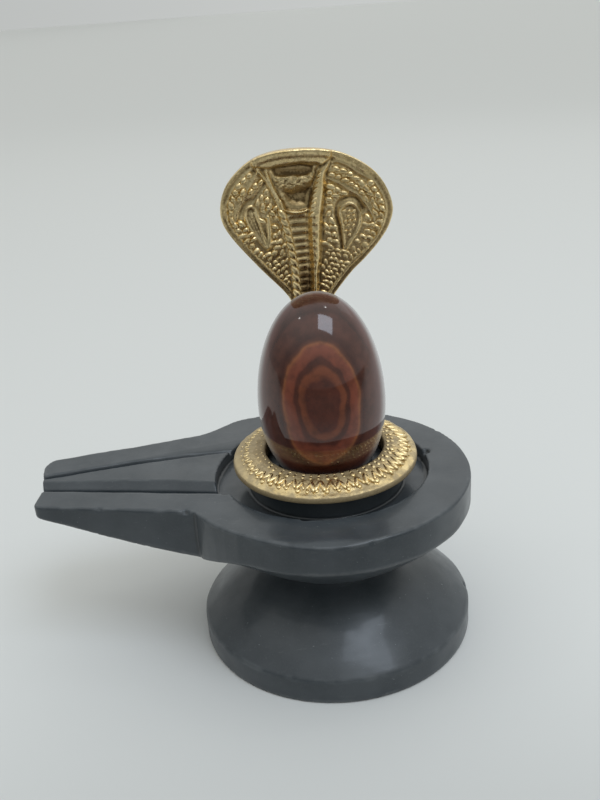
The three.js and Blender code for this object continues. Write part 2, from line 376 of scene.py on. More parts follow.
def curve(*controls, steps=10):
    """Points along a Bezier curve, without its first point."""
    controls = np.array(controls, float)
    order = len(controls) - 1
    shares = np.linspace(0, 1, steps + 1)[1:, None]
    return sum(math.comb(order, i) * shares ** i * (1 - shares) ** (order - i) * control
               for i, control in enumerate(controls))


def outline_distance(across, up, outline):
    """Signed distance to a closed outline, whose corners may differ from place to place."""
    nearest = np.full(across.shape, np.inf)
    inside = np.zeros(across.shape, bool)
    for i, (x1, y1) in enumerate(outline):
        x0, y0 = outline[i - 1]
        run, climb = x1 - x0, y1 - y0
        share = ((across - x0) * run + (up - y0) * climb) / (run * run + climb * climb)
        share = np.clip(share, 0, 1)
        nearest = np.minimum(nearest, (across - x0 - share * run) ** 2
                             + (up - y0 - share * climb) ** 2)
        level = np.where(climb == 0, 1.0, climb)
        crosses = ((y0 > up) != (y1 > up)) & (across < x0 + (up - y0) * run / level)
        inside ^= crosses
    return np.where(inside, -1, 1) * np.sqrt(nearest)


def ripple(points, size, seed, waves=14):
    """A smooth random value around zero that changes over about the given size."""
    random = np.random.default_rng(seed)
    value = np.zeros(np.broadcast(*points).shape)
    for _ in range(waves):
        way = random.normal(size=3)
        way *= 2 * math.pi / (size * random.uniform(0.7, 1.5) * np.linalg.norm(way))
        value = value + np.sin(way[0] * points[0] + way[1] * points[1] + way[2] * points[2]
                               + random.uniform(0, 2 * math.pi))
    return value / math.sqrt(waves / 2)


square = [(-1, -1), (1, -1), (1, 1), (-1, 1)]
print("the middle of a 2 mm square lies at", outline_distance(*np.zeros((2, 1)), square)[0], "mm")

# %% [markdown]
# ## A net over a form
# A form that is known only as a distance has no faces yet. The distance is read at every
# corner of a grid of small boxes. Where it changes sign along an edge of the grid, the
# skin passes through, and the four boxes round that edge get one face between them, with
# a point inside each box. Such a net needs no table of cases, is closed by itself and has
# nearly square faces, which is why it is used here instead of marching cubes.

# %% Lay a net over a form
def gathered(numbers, values, count):
    """Adds up the rows of values that carry the same number."""
    return np.stack([np.bincount(numbers, column, count) for column in values.T], 1)


def surface_net(field, axes):
    """Puts a point in every cell the surface crosses and a face on every crossed edge."""
    cells = np.array(field.shape) - 1
    rings, places = [], []
    for a in range(3):
        b, c = (a + 1) % 3, (a + 2) % 3
        low = np.delete(field, -1, axis=a)
        high = np.delete(field, 0, axis=a)
        edge = np.argwhere((low < 0) != (high < 0))
        below, above = low[tuple(edge.T)], high[tuple(edge.T)]
        place = np.stack([axes[k][edge[:, k]] for k in range(3)], 1)
        step = axes[a][edge[:, a] + 1] - axes[a][edge[:, a]]
        place[:, a] += step * below / (below - above)
        around = []
        for side_b, side_c in ((0, 0), (-1, 0), (-1, -1), (0, -1)):
            cell = edge.copy()
            cell[:, b] += side_b
            cell[:, c] += side_c
            around.append(np.ravel_multi_index(cell.T, cells))
        ring = np.stack(around, 1)
        ring[below > 0] = ring[below > 0, ::-1]
        rings.append(ring)
        places.append(place)
    rings, places = np.vstack(rings), np.vstack(places)
    numbers, faces = np.unique(rings, return_inverse=True)
    faces = faces.reshape(rings.shape)
    total = gathered(faces.ravel(), np.repeat(places, 4, axis=0), len(numbers))
    return total / np.bincount(faces.ravel())[:, None], faces


ball_axes = [np.arange(-4, 4.1, 0.5)] * 3
ball = np.sqrt(sum(side ** 2 for side in np.meshgrid(*ball_axes, indexing="ij"))) - 3
print("a 6 mm ball takes", len(surface_net(ball, ball_axes)[1]), "faces at half a millimetre")

# %% [markdown]
# ## Settling the net
# A fresh net is a little uneven, so its points are moved halfway to the middle of their
# neighbours and then straight back to the skin, along the slope of the distance. The same
# neighbours tell how sharp the form is at a point: on an edge the point stands out from
# them, and in a hollow it lies below them. Finishes read that number for wear and dirt.

# %% Settle a net and find its edges
def neighbour_mean(points, faces):
    """The mean of the neighbours of each point, along the edges of the faces."""
    one, two = faces.ravel(), np.roll(faces, -1, axis=1).ravel()
    ends, others = np.concatenate([one, two]), np.concatenate([two, one])
    count = np.bincount(ends, minlength=len(points))
    return gathered(ends, points[others], len(points)) / count[:, None]


def slope_at(form, points, step=0.02):
    """The distance at each point, and how it changes along each axis."""
    value = form(*points.T)
    slope = np.empty_like(points)
    for k in range(3):
        moved = points.copy()
        moved[:, k] += step
        slope[:, k] = (form(*moved.T) - value) / step
    return value, slope


LONGEST_MOVE = 0.4  # of a point in one step, so that none leaps across a thin wall


def settle(form, points, faces, rounds=2):
    """Evens out the net and lays it back on the surface of the form."""
    for _ in range(rounds):
        points = 0.5 * points + 0.5 * neighbour_mean(points, faces)
        for _ in range(2):
            value, slope = slope_at(form, points)
            steep = np.maximum((slope * slope).sum(1), 0.05)
            move = -(value / steep)[:, None] * slope
            length = np.linalg.norm(move, axis=1, keepdims=True)
            points = points + move * np.minimum(1, LONGEST_MOVE / np.maximum(length, 1e-9))
    return points


def sharpness(points, faces, normals, rounds=6):
    """Above zero on ridges and edges, below zero in hollows, in millimetres."""
    flat = points
    for _ in range(rounds):
        flat = neighbour_mean(flat, faces)
    return ((points - flat) * normals).sum(1)


print("a point moves at most", LONGEST_MOVE, "mm at a time")

# %% [markdown]
# ## The black stone's finish
# The stone is a dense dark blue-grey one, rubbed smooth but not polished. Its own colour
# hardly changes, so what shows is the work: pale rubbed edges, specks of pale dust, fine
# scratches from the grit, and a sheen that is duller in some places than in others. Its
# deepest corners get painted shade.

# %% The black stone's finish
# The darkest tone is painted shade for the deepest corners.
BASE_TONES = {
    "dark": (0.031, 0.0385, 0.045), "cloud": (0.049, 0.0575, 0.065),
    "grain": (0.055, 0.063, 0.067), "scratch": (0.095, 0.103, 0.107),
    "rubbed edge": (0.15, 0.16, 0.165), "painted corner shade": (0.012, 0.014, 0.015),
    "dust": (0.26, 0.27, 0.27),
}
SCRATCH_STRETCH = (0.22, 1.5, 1.5)  # the grit was drawn along the spout, which is X


def black_stone():
    stone = Shader("Black stone")
    cloud = stone.noise(9.0, detail=4.0)
    grain = stone.noise(0.45, detail=3.0, rough=0.6)
    lengthwise = stone.maths("MULTIPLY", stone.millimetres, SCRATCH_STRETCH, vector=True)
    scratch = stone.noise(1.3, detail=5.0, rough=0.7, place=lengthwise)
    patch = stone.between(stone.noise(6.0, detail=3.0), 0.42, 0.62)
    edge = stone.mark("edge")
    rubbed = stone.maths("MULTIPLY", stone.between(edge, 0.05, 0.16, 0.0, 0.28), patch)
    dust = stone.between(stone.noise(0.5, detail=2.0), 0.70, 0.78)
    dust = stone.maths("MULTIPLY", dust, patch)
    body = stone.over(BASE_TONES["dark"], cloud, 0.3, 0.7, 1.0, BASE_TONES["cloud"])
    body = stone.over(body, grain, 0.45, 0.75, 0.4, BASE_TONES["grain"])
    body = stone.over(body, scratch, 0.60, 0.72, 0.35, BASE_TONES["scratch"])
    body = stone.mix(rubbed, body, BASE_TONES["rubbed edge"])
    # Painted shade in the deepest concave corners.
    body = stone.over(body, edge, -0.04, -0.14, 0.6, BASE_TONES["painted corner shade"])
    body = stone.mix(stone.maths("MULTIPLY", dust, 0.7), body, BASE_TONES["dust"])
    sheen = stone.between(stone.noise(6.0, detail=5.0, rough=0.6), 0.35, 0.7, 0.32, 0.44)
    roughness = stone.maths("ADD", sheen, stone.maths("MULTIPLY", dust, 0.3))
    height = stone.maths("ADD", stone.maths("MULTIPLY", grain, 0.35),
                         stone.maths("MULTIPLY", scratch, 0.7))
    stone.bump(height, 0.25, 0.05)
    stone.feed(stone.principled.inputs["Coat Weight"], 0.2)
    stone.feed(stone.principled.inputs["Coat Roughness"], 0.10)
    return stone.finish(body, roughness, ior=1.47)


BLACK_STONE = black_stone()

# %% [markdown]
# ## Drawing the base
# The foot is a low cone on a straight band, turned to a narrow neck; the bowl flares from
# the neck to the plate. The spout has a keel under it and a flat on either side of the
# keel. On top are a round recess, the seat in its middle, and the channel. A flat panel
# runs along the channel, with a trough on its near side, where the water goes, and a
# narrow cut on its far side. Last come the cup for the egg, the worn flat at the front and
# a few chips. Everything turned is one profile, the spout is one plan with a sloping
# underside, and the channel is one section drawn at four stations along the spout.

# %% Draw the base
TOP = 39.2
PLATE_RADIUS = 31.3
PLATE_BOTTOM = 32.5
FOOT_AND_BOWL = np.vstack([
    [(-20, 0), (30.5, 0), (30.85, 0.15), (31, 0.5), (31, 5.5), (30.9, 5.8), (30.6, 6.15)],
    curve((30.6, 6.15), (24.3, 12.45), (15.6, 18.0)),
    curve((15.6, 18.0), (14.2, 18.9), (14.0, 20.2), steps=5),
    [(14.0, 22.0), (14.5, 22.5), (20.2, 22.7), (20.7, 23.0)],
    curve((20.7, 23.0), (26.4, 27.3), (31.0, 31.9)),
    [(PLATE_RADIUS, PLATE_BOTTOM), (PLATE_RADIUS, 48), (-20, 48)],
])
SPOUT_PLAN = np.vstack([
    [(0, 0), (0, 31.2)],
    curve((0, 31.2), (-5, 31.9), (-11, 32.4), (-15.6, 31.7)),
    curve((-15.6, 31.7), (-24.5, 30.2), (-24.5, 24.4), (-32, 23.3)),
    [(-63.2, 17.45)],
    curve((-63.2, 17.45), (-65.2, 17.0), (-65.7, 13.8), steps=5),
    [(-64.3, 2), (-64.7, -3.4)],
    curve((-64.7, -3.4), (-64.8, -4.9), (-63.3, -5.2), steps=4),
    [(-29.6, -13.35), (-28.8, -14.9), (-27.4, -17.0), (-25.6, -19.2), (-23.5, -21.4),
     (-20.8, -23.8)],
    [(PLATE_RADIUS * math.cos(turn * math.pi), PLATE_RADIUS * math.sin(turn * math.pi))
     for turn in np.linspace(1.30, 1.42, 6)],
])
KEEL = [(-66, 36.75), (-45, 31.0), (-29.6, 27.65), (-18, 25.1)]  # along X, height
KEEL_LENGTH = 1.036  # of its slope, per millimetre along X
FLANKS = [  # height at the middle of the plate, slope along X and along Y, slope's length
    (16.8, -0.129, -0.52, 1.134), (17.4, 0.035, 0.48, 1.110)]
WORN_FLAT = {"y": -28.3, "x": -13, "turn": 0.105, "slope": 0.375, "length": 1.068}
RECESS = {"x": -0.6, "y": 1.6, "radius": 23, "floor": 36.2}
LIP = {"radius": 24.7, "near": -7.2, "far": 17.2, "end": -15}  # round the panel's end
SEAT = {"x": -0.6, "y": 0.3, "radius": 17, "top": 41.3, "bottom": 30}
CUP_GAP = 0.35
CHANNEL_END = -19
CHANNEL_STATIONS = (-67.0, -45.0, -36.0, -20.6)  # along X, from the tip to the root
CHANNEL = [  # each corner of the section at those stations: places along Y, heights
    ((2.5, -2.1, -4.1, -7.4), (50, 50, 50, 50)),
    ((2.7, -1.9, -3.9, -7.2), (36.6, 36.0, 36.0, 36.5)),
    ((5.7, 1.9, 0.0, -3.8), (36.6, 36.0, 36.0, 36.5)),
    ((6.0, 2.3, 0.4, -3.5), (37.8, 37.4, 37.4, 37.4)),
    ((6.7, 3.4, 1.6, -2.4), (38.3, 38.3, 38.3, 38.4)),
    ((7.4, 4.1, 2.3, -1.8), (38.85, 38.9, 38.9, 38.9)),
    ((8.0, 11.6, 12.6, 13.7), (38.85, 38.9, 38.9, 38.9)),
    ((8.3, 12.0, 13.0, 14.1), (37.9, 37.9, 37.9, 38.0)),
    ((8.8, 12.6, 13.6, 14.6), (37.9, 37.9, 37.9, 38.0)),
    ((9.1, 13.0, 14.1, 15.3), (39.2, 39.2, 39.0, 38.7)),
    ((9.15, 13.1, 15.2, 18.4), (39.3, 39.3, 39.3, 39.3)),
    ((9.2, 13.2, 15.3, 18.5), (50, 50, 50, 50)),
]
FLAKES = [  # a place on the skin, the way it faces, the radius of the hollow and its depth
    ((-26.6, -18.2, 39.1), (-0.5, -0.6, 0.6), 1.5, 0.3),
    ((-24.3, -20.7, 39.1), (-0.4, -0.7, 0.6), 1.3, 0.3),
    ((23.1, 4.2, 39.0), (-0.5, 0.1, 0.8), 1.3, 0.5),
    ((12.2, -16.9, 39.1), (-0.3, 0.5, 0.8), 1.2, 0.5),
    ((-6.8, -20.5, 39.1), (0.1, 0.5, 0.8), 1.5, 0.5),
    ((5.4, -31.2, 38.4), (0.1, -0.8, 0.6), 1.5, 0.45),
    ((-31.3, -12.6, 38.9), (-0.3, -0.7, 0.6), 1.2, 0.4),
    ((27.6, 14.6, 39.1), (0.5, 0.3, 0.7), 1.4, 0.25),
    ((-50.0, -8.2, 38.9), (-0.2, -0.7, 0.6), 1.2, 0.2),
    ((30.6, -2.5, 5.9), (0.8, 0.0, 0.6), 2.0, 0.4),
    ((-12.0, -28.6, 5.9), (-0.3, -0.8, 0.5), 2.2, 0.35),
]
print("the base's plan has", len(SPOUT_PLAN), "points")

# %% [markdown]
# ## The form of the base
# Each part of the drawing becomes one distance. A sloping plane is a height that changes
# evenly, divided by the length of its slope. The cuts are gathered first and taken from
# the body together, so that no thin skin stays between them, and only then is the seat
# added and the cup sunk into it. Cut edges are rubbed by a third of a millimetre, and the
# corner between the spout and the bowl is filled more. A slow ripple of a fiftieth of a
# millimetre keeps the large faces from looking machined.

# %% Describe the base as one distance
RUBBED_EDGE = 0.36  # of the cuts
RUBBED_RIM, RIM_UNEVEN = 0.42, 0.14  # of the top's outline, and how much that varies
RIPPLE = 0.022


def spout_form(x, y, z):
    keel = (np.interp(x, *np.transpose(KEEL)) - z) / KEEL_LENGTH
    near, far = [(height + along * x + across * y - z) / length
                 for height, along, across, length in FLANKS]
    under = soft_meet(soft_meet(near, far, 1.2), keel, 0.9)
    return soft_meet(outline_distance(x, y, SPOUT_PLAN), under, 0.5)


def channel_form(x, y, z):
    section = [(np.interp(x, CHANNEL_STATIONS, across), np.interp(x, CHANNEL_STATIONS, up))
               for across, up in CHANNEL]
    return np.maximum(outline_distance(y, z, section), x - CHANNEL_END)


def top_cuts(x, y, z):
    """The round recess, the wider part of it at the panel's end, and the channel."""
    radius = np.hypot(x - RECESS["x"], y - RECESS["y"])
    recess = np.maximum(radius - RECESS["radius"], RECESS["floor"] - z)
    sides = np.maximum(np.maximum(LIP["near"] - y, y - LIP["far"]), x - LIP["end"])
    lip = np.maximum(np.maximum(radius - LIP["radius"], RECESS["floor"] - z), sides)
    return np.minimum(np.minimum(recess, lip), channel_form(x, y, z))


def worn_top(body, x, y, z):
    """Cuts the top off level, with an unevenly rubbed edge, and the worn flat off its front."""
    wear = RUBBED_RIM + RIM_UNEVEN * ripple((x, y, z), 11.0, 3)
    body = soft_meet(body, z - TOP, np.maximum(wear, 0.2))
    start = WORN_FLAT["y"] - WORN_FLAT["turn"] * (x - WORN_FLAT["x"])
    flat = (z - TOP + WORN_FLAT["slope"] * (start - y)) / WORN_FLAT["length"]
    return soft_meet(body, flat, 0.25)


def flaked(body, x, y, z):
    """Takes shallow hollows out of the skin, where the stone has flaked."""
    for place, facing, radius, depth in FLAKES:
        centre = np.array(place) + (radius - depth) * np.array(facing) / np.linalg.norm(facing)
        hollow = np.sqrt((x - centre[0]) ** 2 + (y - centre[1]) ** 2
                         + (z - centre[2]) ** 2) - radius
        body = soft_meet(body, -hollow, 0.12)
    return body


def base_form(x, y, z):
    body = outline_distance(np.hypot(x, y), z, FOOT_AND_BOWL)
    corner = 0.15 + 1.2 * rise(PLATE_BOTTOM, PLATE_BOTTOM - 2.5, z)
    body = soft_join(body, spout_form(x, y, z), corner)
    body = worn_top(body, x, y, z)
    body = soft_meet(body, -top_cuts(x, y, z), RUBBED_EDGE)
    seat = np.maximum(np.hypot(x - SEAT["x"], y - SEAT["y"]) - SEAT["radius"], z - SEAT["top"])
    body = soft_join(body, np.maximum(seat, SEAT["bottom"] - z), 0.5)
    cup = np.hypot(x - EGG["x"], y - EGG["y"]) - egg_radius(z) - CUP_GAP
    body = soft_meet(body, -np.where(z < EGG["bottom"] - 1, 5.0, cup), 0.3)
    body = flaked(body, x, y, z)
    body = body + RIPPLE * ripple((x, y, z), 7.0, 5) * rise(0.2, 1.5, z)
    return np.maximum(body, -z)


print("the seat stands", round(SEAT["top"] - TOP, 1), "mm above the plate")

# %% [markdown]
# ## Carving the base
# All these forms together say how far any place is from the skin of the stone. They are
# read on a grid of half a millimetre, finer where the channel's cuts run, a slab at a time
# so that little memory is needed, and a net of faces is laid where the number passes
# through zero. The net is settled onto the true skin, and each point is marked with how
# sharp the stone is there, which the finish uses for its rubbed edges and for the painted
# shade in its corners.

# %% Carve the base
WIDE, NARROW, FINE = 0.55, 0.4, 0.36  # steps of the grid


def base_axes():
    """Where the grid is cut along each axis, a little off the drawing's own numbers."""
    along = np.arange(-67, 33, WIDE) + 0.013
    across = np.concatenate([np.arange(-33, -9, WIDE), np.arange(-9, 19, NARROW),
                             np.arange(19, 34.5, WIDE)]) + 0.017
    up = np.concatenate([np.arange(-0.76, 34, WIDE), np.arange(34.4, 43, FINE)])
    return [along, across, up]


def carve_base(slab=10):
    axes = base_axes()
    grid = np.meshgrid(*axes, indexing="ij")
    field = np.empty(grid[0].shape)
    for i in range(0, len(axes[0]), slab):
        field[i:i + slab] = base_form(*(side[i:i + slab] for side in grid))
    points, faces = surface_net(field, axes)
    points = settle(base_form, points, faces)
    normals = slope_at(base_form, points)[1]
    normals /= np.maximum(np.linalg.norm(normals, axis=1, keepdims=True), 1e-6)
    marks = {"edge": sharpness(points, faces, normals)}
    return add_piece("Black_stone_base", points, faces, BLACK_STONE, marks)


base_piece = carve_base()
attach(base_piece, "root")
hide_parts("yoni_base")

# %% [markdown]
# ## The brass's finish
# The naga is cast brass that has browned with age. The raised places are rubbed bright by
# hands and cloths, and the hollows keep a brown skin, so one mark per point says how deep
# in a hollow it lies, and the colour and the sheen follow that mark. On the hood the same
# mark also carries painted shade: in the pocket under the visor, in the scoop, at the bottom
# of the throat and low on the right wing. On the coil a second mark adds a dull layer of
# dried paste and dust, which is no longer quite metal.

# %% The brass's finish
# The browner tones serve for patina in hollows and, on the hood, for painted shade.
BRASS_TONES = {
    "cast": (0.76, 0.575, 0.285), "rubbed": (0.92, 0.735, 0.405),
    "brown patina and painted shade": (0.29, 0.185, 0.075), "deep patina and painted shade": (0.105, 0.062, 0.024),
    "dust": (0.32, 0.25, 0.15),
}


def aged_brass(name, dusty):
    """The brass, with up to the given share of dust besides what the points are marked with."""
    brass = Shader(name)
    cloud = brass.noise(3.0, detail=4.0)
    speck = brass.noise(0.5, detail=3.0, rough=0.6)
    # The hollow mark brings brown patina, and on the hood painted shade as well.
    depth = brass.maths("ADD", brass.mark("hollow"), brass.between(speck, 0.3, 0.7, -0.2, 0.2))
    depth = brass.maths("ADD", depth, brass.between(cloud, 0.3, 0.7, -0.12, 0.12))
    brown_patina_and_shade = brass.between(depth, 0.1, 0.55, 0.0, 0.6)
    dust = brass.between(brass.noise(2.4, detail=4.0, rough=0.6), 0.36, 0.60, 0.0, dusty)
    dust = brass.maths("MAXIMUM", dust, brass.mark("dust"))
    metal = brass.over(BRASS_TONES["cast"], cloud, 0.3, 0.7, 1.0, BRASS_TONES["rubbed"])
    metal = brass.mix(brown_patina_and_shade, metal, BRASS_TONES["brown patina and painted shade"])
    metal = brass.over(metal, depth, 0.6, 1.0, 0.85, BRASS_TONES["deep patina and painted shade"])
    metal = brass.mix(dust, metal, BRASS_TONES["dust"])
    sheen = brass.between(brass.noise(1.5, detail=4.0), 0.3, 0.7, 0.22, 0.34)
    roughness = brass.maths("ADD", sheen, brass.maths("MULTIPLY", brown_patina_and_shade, 0.25))
    roughness = brass.maths("ADD", roughness, brass.maths("MULTIPLY", dust, 0.3))
    brass.bump(brass.maths("ADD", speck, brass.noise(0.9, detail=2.0)), 0.5, 0.12)
    return brass.finish(metal, roughness, metal=brass.between(dust, 0.0, 1.0, 1.0, 0.25))


AGED_BRASS = aged_brass("Aged brass", 0.0)
DUSTY_BRASS = aged_brass("Aged brass with dust", 0.7)

# %% [markdown]
# ## Drawing the hood
# The hood is a thin casting whose back is plain and whose front is worked in relief. It is
# drawn in its own frame, which leans as the hood does: u runs to the right, v runs up and w
# comes out of the front. The outline is one closed path, smooth round the hood and along
# both sides of the stem.

# %% The outline of the hood
HOOD_LEAN = math.radians(2.9)
HOOD_PLACE = np.array([-1.2, 0.0, 75.0])
HOOD_RIGHT = np.array([math.cos(HOOD_LEAN), 0, math.sin(HOOD_LEAN)])
HOOD_UP = np.array([-math.sin(HOOD_LEAN), 0, math.cos(HOOD_LEAN)])
HOOD_FRONT = np.array([0.0, -1.0, 0.0])


def flowing(points, steps=6, closed=False):
    """A smooth path through the points."""
    points = np.asarray(points, float)
    if closed:
        before, after = np.roll(points, 1, 0), np.roll(points, -1, 0)
        further = np.roll(points, -2, 0)
    else:
        padded = np.vstack([2 * points[0] - points[1], points, 2 * points[-1] - points[-2]])
        before, points, after, further = padded[:-3], padded[1:-2], padded[2:-1], padded[3:]
    path = []
    for a, b, c, d in zip(before, points, after, further):
        for t in np.linspace(0, 1, steps, endpoint=False):
            path.append(0.5 * (2 * b + (c - a) * t + (2 * a - 5 * b + 4 * c - d) * t ** 2
                               + (3 * b - a - 3 * c + d) * t ** 3))
    if not closed:
        path.append(after[-1])
    return np.array(path)


HOOD_EDGE = [
    (4.3, -3), (9.9, 4), (13.4, 7.4), (16.8, 11.3), (19.1, 15.4), (19.6, 19.6), (17.5, 25.1),
    (13.5, 29.2), (7.6, 32.2), (0, 33.4), (-6.5, 32.9), (-11, 30.7), (-14.7, 26.9),
    (-16.3, 21.6), (-14.9, 16.4), (-9.7, 8), (-4.2, 0.2),
]
HOOD_OUTLINE = np.vstack([
    curve((7.5, -32), (3.6, -24), (3.2, -7)),
    flowing([(3.2, -7)] + HOOD_EDGE + [(-3.2, -5)], 4)[1:],
    curve((-3.2, -5), (-3.6, -24), (-7.5, -32)),
    [(-7.5, -36), (7.5, -36)],
])
print("the hood's outline has", len(HOOD_OUTLINE), "points")

# %% [markdown]
# ## The lines and fields of the hood
# The front has a smooth rim with a fine raised line inside it, a visor along the top, a
# scoop under the visor, cross bars down the throat, a cord on the left of the throat and a
# broad ridge on its right, and a drop-shaped medallion on either wing. They don't mirror
# each other, since the mould was cut by hand, so every line is drawn by its own points.
# Lines are open paths and fields are closed outlines.

# %% Draw the lines and fields
RIM_LINES = [
    flowing([(7.9, 29.6), (9.0, 29.5), (10.8, 28.6), (13.2, 26.6), (15.7, 24.8), (17.2, 22.4),
             (18.1, 19.2), (17.6, 15.9), (16.3, 12.7), (13.6, 9.4), (10.6, 6.9), (7.6, 3.5),
             (4.4, -0.8)]),
    flowing([(-8.5, 30.4), (-11.1, 28.4), (-13.2, 26.3), (-14.7, 24), (-15.2, 22.0),
             (-14.5, 18.4), (-12.4, 14.1), (-8.6, 8.6), (-4.6, 2.8), (-3.4, 0.4)]),
]
RIGHT_DROP = flowing([(8.7, 18.7), (8.9, 15.9), (9.0, 12.6), (9.2, 10.0), (10.7, 11.9),
                      (12.3, 14.3), (13.0, 16.9), (12.3, 19.2), (11.0, 20.2), (9.6, 19.8)],
                     closed=True)
RIGHT_GROOVE = flowing([(8.6, 10.4), (8.4, 14.3), (7.8, 17.9), (8.4, 20.5), (10.4, 21.5),
                        (12.2, 21.1), (13.6, 18.9)])
RIGHT_STRIP = [(7.2, 18.3), (7.5, 16.5), (7.7, 14.6), (8.0, 12.4)]
RIGHT_ARC = flowing([(6.8, 26.2), (9.1, 24.8), (10.8, 23.3), (12.7, 22.0), (14.2, 19.7),
                     (15.4, 17.2), (15.8, 15.4)])
LEFT_DROP = flowing([(-9.7, 22.3), (-10.8, 21.8), (-11.2, 20.3), (-10.7, 18.0), (-9.4, 15.3),
                     (-7.5, 12.3), (-7.6, 14.2), (-8.3, 17.3), (-8.6, 19.9), (-8.9, 21.5)],
                    closed=True)
LEFT_FEATHERS = [[(-7.7, 13.0), (-9.4, 16.4), (-10.5, 19.9)],
                 [(-7.7, 13.0), (-8.9, 16.6), (-10.0, 21.0)],
                 [(-7.7, 13.0), (-8.4, 16.8), (-9.2, 21.0)]]
LEFT_BAR = [(-6.5, 19.4), (-6.5, 17.6), (-6.6, 15.5), (-7.0, 12.8)]
LEFT_ARC = flowing([(-7.6, 29.2), (-9.1, 27.3), (-10.4, 25.4), (-11.6, 23.8), (-12.6, 21.8),
                    (-13.3, 19.6)])
LEFT_ARC_GROOVE = flowing([(-6.2, 27.0), (-7.9, 25.1), (-9.0, 23.9), (-10.7, 23.2),
                           (-11.9, 21.9), (-12.7, 20.3), (-13.0, 18.8)])
LEFT_CORD_LINES = [flowing([(-8.0, 30.8), (-6.7, 28.6), (-5.5, 26.2), (-4.5, 23.2),
                            (-3.7, 20.4)]),
                   flowing([(-5.8, 29.5), (-4.9, 26.1), (-3.7, 22.9), (-3.1, 20.6)])]
LEFT_CORD = flowing([(-3.6, 20.4), (-2.9, 16.4), (-2.4, 11.4), (-2.1, 7.4), (-2.1, 3.4),
                     (-2.3, -1.0)])
RIDGE_OUTER = flowing([(7.4, 30.1), (6.3, 27.2), (5.9, 23.8), (5.0, 18.9), (4.4, 13.9),
                       (3.9, 8.7), (3.0, 4.9), (2.4, -1.0)])
RIDGE_INNER = flowing([(5.0, 28.3), (4.1, 25.7), (3.1, 22.2), (2.3, 18.8), (1.9, 14.2),
                       (1.7, 9.0), (1.4, 3.7), (0.9, -1.0)])
RIDGE = np.vstack([RIDGE_OUTER, RIDGE_INNER[::-1]])
THROAT = np.vstack([LEFT_CORD_LINES[1], LEFT_CORD[2:], RIDGE_INNER[::-1]])
VISOR = np.array([(-8.6, 31.0), (-7.2, 30.4), (-5.2, 29.9), (-3.3, 30.3), (1.3, 30.4),
                  (4.4, 29.8), (5.7, 29.2), (7.7, 30.4), (7.9, 35), (-8.6, 35)])
VISOR_LIP = VISOR[1:7]
MUZZLE = np.array([(-4.3, 27.6), (-3.7, 26.0), (-3.2, 25.0), (-0.7, 24.9), (1.2, 25.2),
                   (3.3, 25.7), (4.2, 26.2), (4.2, 27.5), (2.4, 27.3), (-2.8, 28.0)])
POCKET = np.array([(-5.0, 29.9), (-4.3, 27.9), (2.4, 27.2), (3.9, 27.8), (4.2, 29.4),
                   (1.3, 30.2), (-3.3, 30.1)])
SCOOP = np.array([(-3.3, 24.9), (-2.7, 22.9), (-2.0, 21.6), (-0.4, 20.7), (2.0, 20.5),
                  (2.8, 21.8), (3.6, 23.8), (3.3, 25.4), (1.2, 25.1), (-0.7, 24.8)])
SCOOP_LIP = flowing([(-3.3, 22.6), (-2.6, 20.4), (-0.2, 19.6), (2.5, 20.1), (3.3, 22.6)])
DROP_RINGS = [np.vstack([drop, drop[:1]]) for drop in (RIGHT_DROP, LEFT_DROP)]
BARS = [[(-3.2, 19.0), (3.2, 18.6)], [(-2.3, 17.4), (3.0, 17.1)], [(-2.1, 15.4), (2.8, 15.1)],
        [(-1.8, 13.5), (2.7, 13.2)], [(-1.6, 11.9), (2.6, 11.8)]]
BARS += [[(-1.5, v), (2.3, v - 0.1)] for v in np.arange(10.2, -2.5, -1.65)]
print(len(BARS), "bars cross the throat")

# %% [markdown]
# ## The hood's relief
# Each line and field of the drawing adds its own height to the front: half a millimetre
# for a line, and about two for the visor, which stands out over the pocket below it. A
# line is a low rounded bank, highest on its path, and a groove is the same with its height
# below zero. A table says how high and how wide each one is, so that any of them can be
# changed without touching the rest.

# %% The heights of the front
STEM_FRONT = 1.6
RAISED_LINES = [  # the paths, their height and their width
    (RIM_LINES, 0.3, 0.26), (DROP_RINGS[:1], 0.45, 0.3), (DROP_RINGS[1:], 0.45, 0.28),
    ([LEFT_BAR], 0.6, 0.48), ([RIGHT_STRIP], 0.25, 0.5), ([RIGHT_ARC], 0.30, 0.34),
    ([LEFT_ARC], 0.22, 0.34), ([RIGHT_GROOVE], -0.42, 0.45), ([LEFT_ARC_GROOVE], -0.252, 0.35),
    (LEFT_CORD_LINES, 0.6, 0.34), ([LEFT_CORD], 0.45, 0.75), ([SCOOP_LIP], 0.75, 0.36),
    ([VISOR_LIP], 0.15, 0.25),
]


def hill(value, width):
    """1 where the value is zero, falling off over the width on both sides."""
    return np.exp(-((value / width) ** 2))


def path_distance(u, v, path):
    nearest = np.full(np.shape(u), np.inf)
    for (u0, v0), (u1, v1) in zip(path[:-1], path[1:]):
        run, climb = u1 - u0, v1 - v0
        share = np.clip(((u - u0) * run + (v - v0) * climb) / (run * run + climb * climb), 0, 1)
        nearest = np.minimum(nearest, (u - u0 - share * run) ** 2
                             + (v - v0 - share * climb) ** 2)
    return np.sqrt(nearest)


def bank(u, v, path, width):
    return hill(path_distance(u, v, path), width)


def highest_bank(u, v, paths, width):
    return np.max([bank(u, v, path, width) for path in paths], axis=0)


